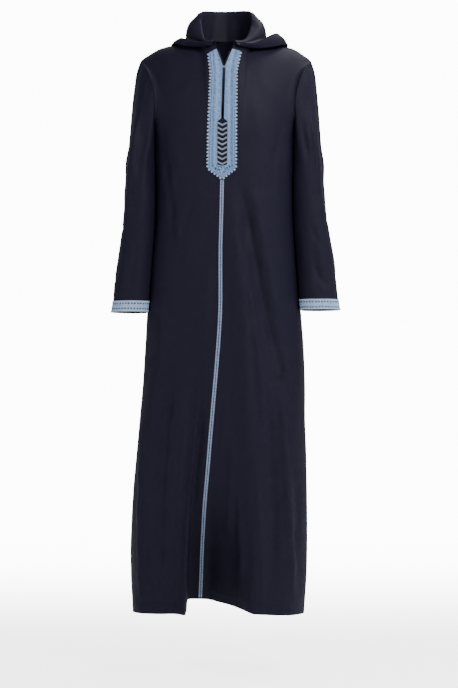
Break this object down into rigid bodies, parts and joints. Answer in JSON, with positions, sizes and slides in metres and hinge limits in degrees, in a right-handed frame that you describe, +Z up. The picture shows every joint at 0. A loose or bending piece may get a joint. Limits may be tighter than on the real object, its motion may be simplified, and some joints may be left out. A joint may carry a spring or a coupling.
{
  "type": "hooded ankle-length robe",
  "caption": "Hooded long-sleeved robe in its worn hollow form, with an embroidered slit panel, a braided centre front and trimmed cuffs; the wearer's shoulders hold it up.",
  "frame": {"origin": "midway between the shoulders at the base of the neck, where the wearer holds the robe up", "axes": "+Z up, -Y towards the front of the robe, +X towards the side seen on the right from the front"},
  "size_m": [0.5492, 0.3104, 1.4555],
  "materials": {
    "robe_cloth": "fine navy twill with a soft sheen",
    "panel_embroidery": "light blue raised embroidery",
    "chevron_braid": "silver grey braid",
    "front_braid": "light blue twisted cord",
    "cuff_trim": "pale blue woven band",
    "neck_piping": "dark navy bound edge"
  },
  "bodies": {
    "root": {"front_left": "robe_cloth", "front_right": "robe_cloth", "back": "robe_cloth", "sleeve_left": "robe_cloth", "sleeve_right": "robe_cloth", "hood": "robe_cloth", "embroidered_panel": "panel_embroidery", "chevron_1": "chevron_braid", "chevron_2": "chevron_braid", "chevron_3": "chevron_braid", "chevron_4": "chevron_braid", "chevron_5": "chevron_braid", "chevron_6": "chevron_braid", "chevron_7": "chevron_braid", "chevron_8": "chevron_braid", "chevron_9": "chevron_braid", "front_braid": "front_braid", "cuff_trim_left": "cuff_trim", "cuff_trim_right": "cuff_trim", "neck_piping": "neck_piping"}
  },
  "joints": []
}
